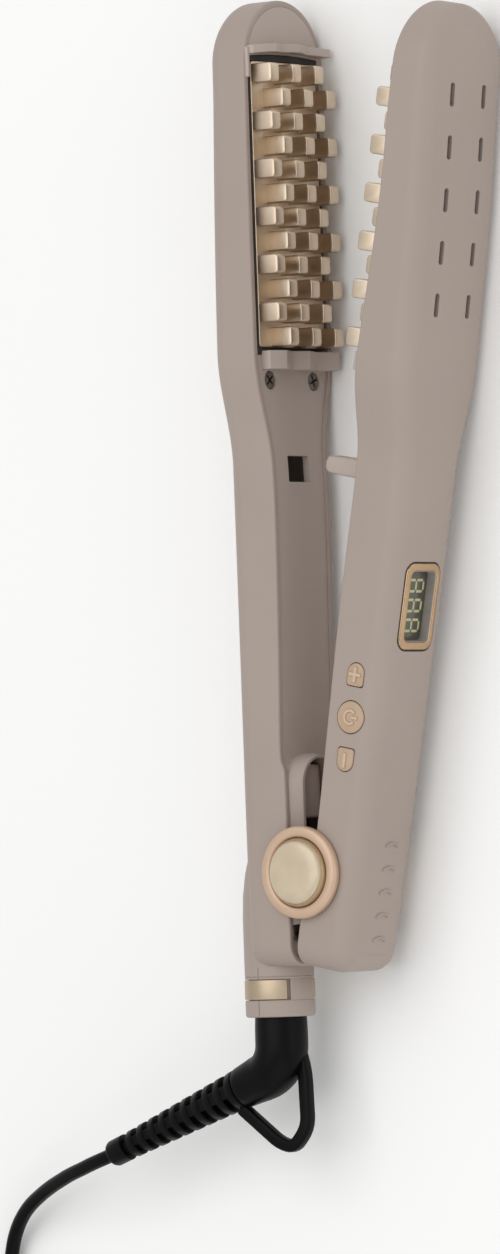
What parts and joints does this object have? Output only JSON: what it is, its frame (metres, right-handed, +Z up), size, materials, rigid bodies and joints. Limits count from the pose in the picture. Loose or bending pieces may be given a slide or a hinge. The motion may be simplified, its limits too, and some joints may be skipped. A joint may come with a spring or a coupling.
{
  "type": "hair crimper",
  "caption": "Hair crimper with two hinged arms, staggered toothed crimping plates, side hinge caps, display, press buttons and a swivel cord with hanging loop and plug.",
  "frame": {"origin": "on the hinge axis, at the flat centre of the lower hinge disc that the crimper lies on", "axes": "+Z up along the hinge axis to the button side, +Y along the cord arm to its tip, +X to the side that the other arm opens to"},
  "size_m": [0.2986, 0.4962, 0.04],
  "materials": {
    "cover_plastic": "soft-touch satin",
    "inner_cover_plastic": "satin",
    "plate_metal": "champagne anodised satin",
    "black_insulator": "matte",
    "ceramic": "matte ceramic",
    "spring_steel": "satin",
    "dark_screw_steel": "black zinc",
    "gold_trim": "champagne metallic",
    "rose_trim": "satin rose",
    "cream_disc": "pearl gloss",
    "pin_steel": "ground",
    "display_lens": "glossy",
    "display_cell": "satin",
    "circuit_board": "solder mask",
    "button_plastic": "satin",
    "black_rubber": "glossy",
    "cord_jacket": "satin",
    "plug_metal": "nickel"
  },
  "bodies": {
    "base": {"base_outer_cover": "cover_plastic", "base_inner_cover": "inner_cover_plastic", "base_plate": "plate_metal", "base_plate_seat": "black_insulator", "base_heater": "ceramic", "base_heater_spring": "spring_steel", "base_thermal_fuse": "ceramic", "base_cover_screws": "dark_screw_steel", "tail_screw": "dark_screw_steel", "neck_collar": "cover_plastic", "hinge_pin": "pin_steel", "hinge_rings": "rose_trim", "hinge_discs": "cream_disc", "hinge_spring": "spring_steel"},
    "control": {"control_outer_cover": "cover_plastic", "control_inner_cover": "inner_cover_plastic", "control_plate": "plate_metal", "control_plate_seat": "black_insulator", "control_heater": "ceramic", "control_heater_spring": "spring_steel", "control_cover_screws": "dark_screw_steel", "latch_hook": "inner_cover_plastic", "display_bezel": "gold_trim", "display_lens": "display_lens", "display_module": "display_cell", "display_board": "circuit_board", "button_board": "circuit_board"},
    "lock": {"lock_band": "gold_trim"},
    "swivel": {"strain_relief": "black_rubber", "hanging_loop": "black_rubber", "swivel_retainer": "black_insulator", "cord": "cord_jacket", "cord_coil": "cord_jacket", "coil_tie": "black_rubber", "cord_end": "cord_jacket", "plug_body": "black_rubber", "plug_pins": "plug_metal"},
    "plus": {"plus_button": "button_plastic"},
    "power": {"power_button": "button_plastic"},
    "minus": {"minus_button": "button_plastic"}
  },
  "joints": [
    {"name": "arm_hinge", "type": "hinge", "parent": "base", "child": "control", "pos_m": [0, 0, 0.02], "axis": [0, 0, 1], "range_deg": [0, 11.5], "stiffness_Nm_per_rad": 0.6, "springref_deg": -20.05},
    {"name": "lock_turn", "type": "hinge", "parent": "base", "child": "lock", "pos_m": [-0.0218, -0.0358, 0.02], "axis": [0, 1, 0], "range_deg": [0, 6]},
    {"name": "cord_swivel", "type": "hinge", "parent": "base", "child": "swivel", "pos_m": [-0.0218, -0.04, 0.02], "axis": [0, 1, 0], "continuous": true},
    {"name": "plus_press", "type": "slide", "parent": "control", "child": "plus", "axis": [0, 0, -1], "range_m": [0, 0.0005], "stiffness_N_per_m": 1200, "springref_m": -0.0005},
    {"name": "power_press", "type": "slide", "parent": "control", "child": "power", "axis": [0, 0, -1], "range_m": [0, 0.0005], "stiffness_N_per_m": 1200, "springref_m": -0.0005},
    {"name": "minus_press", "type": "slide", "parent": "control", "child": "minus", "axis": [0, 0, -1], "range_m": [0, 0.0005], "stiffness_N_per_m": 1200, "springref_m": -0.0005}
  ]
}
